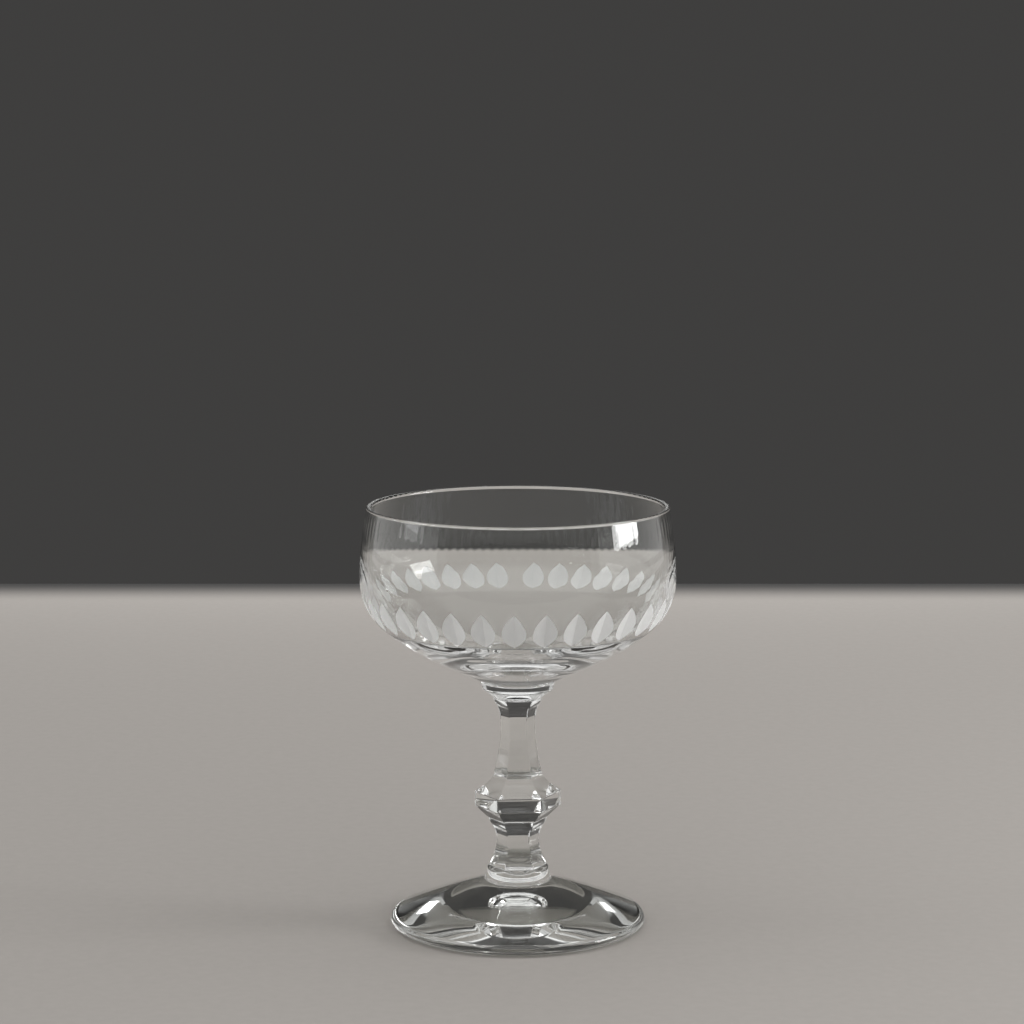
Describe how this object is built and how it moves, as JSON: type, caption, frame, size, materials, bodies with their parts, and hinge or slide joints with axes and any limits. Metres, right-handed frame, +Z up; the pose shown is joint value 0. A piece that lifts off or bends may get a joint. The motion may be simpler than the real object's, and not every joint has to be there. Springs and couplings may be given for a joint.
{
  "type": "sherbet glass",
  "caption": "Clear footed sherbet glass with a wide round bowl, a band of frosted leaf cuts, a panelled stem with a knop and a round foot.",
  "frame": {"origin": "centre of the foot's tread ring, on the surface the glass stands on", "axes": "+Z up along the glass's own axis, -Y towards the viewer of the picture, +X to the viewer's right"},
  "size_m": [0.0892, 0.0892, 0.1205],
  "materials": {
    "foot_glass": "clear pressed glass, fire polished",
    "stem_glass": "clear pressed glass, fire polished",
    "merese_glass": "clear glass, fire polished",
    "bowl_glass": "clear blown glass with frosted wheel-cut leaves"
  },
  "bodies": {
    "root": {"foot": "foot_glass", "stem": "stem_glass", "merese": "merese_glass", "bowl": "bowl_glass"}
  },
  "joints": []
}
